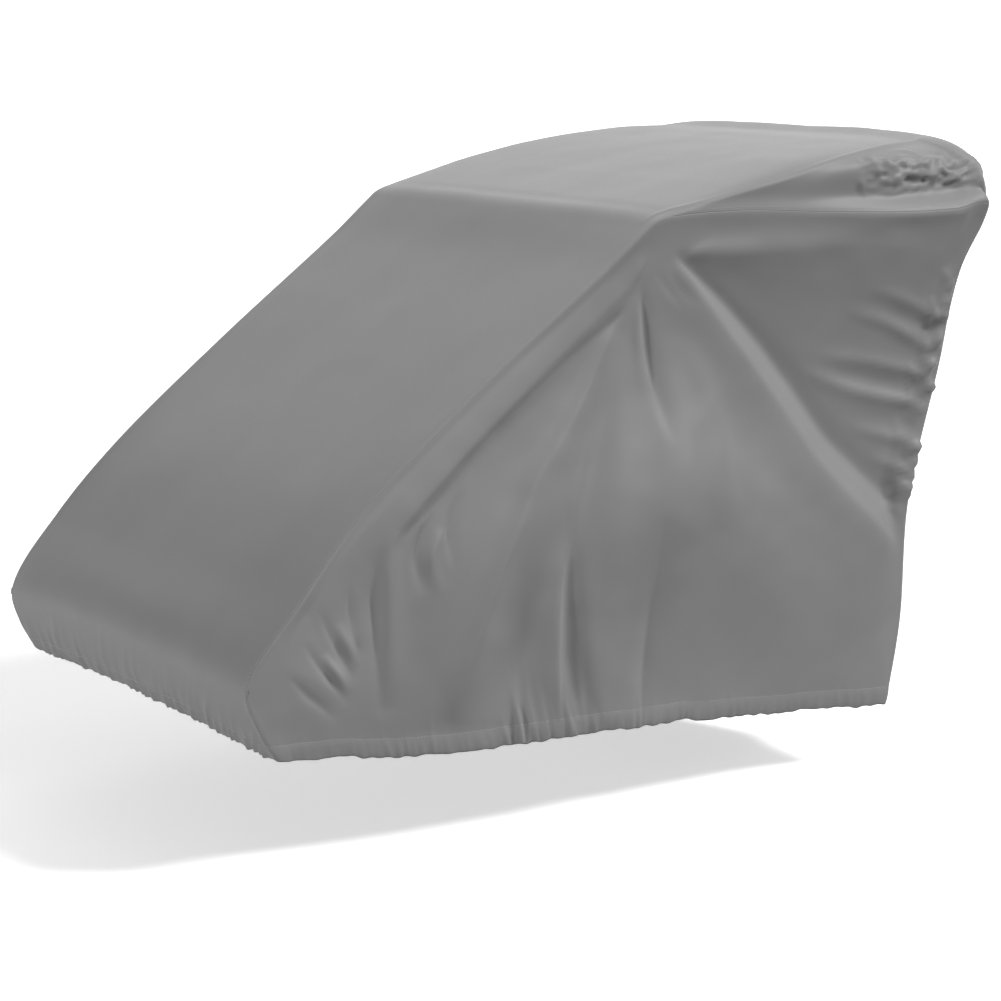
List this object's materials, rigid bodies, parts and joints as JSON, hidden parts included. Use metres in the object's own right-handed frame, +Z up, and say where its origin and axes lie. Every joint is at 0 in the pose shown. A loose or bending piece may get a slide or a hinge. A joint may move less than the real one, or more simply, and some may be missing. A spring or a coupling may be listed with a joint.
{
  "type": "bike trailer cover",
  "caption": "Fitted grey cloth cover for a two-seat bike trailer, with a sloping front, a roof over the push bar and an elasticated hem.",
  "frame": {"origin": "on the underside of the roof in the middle of its width, where the trailer's roof carries the cover", "axes": "+X towards the rear and the push bar, +Y towards the far side, +Z up"},
  "size_m": [1.244, 0.8689, 0.8191],
  "materials": {
    "cloth": "coated plain weave with a soft sheen"
  },
  "bodies": {
    "root": {"front_roof_back_panel": "cloth", "near_side_panel": "cloth", "far_side_panel": "cloth"}
  },
  "joints": []
}
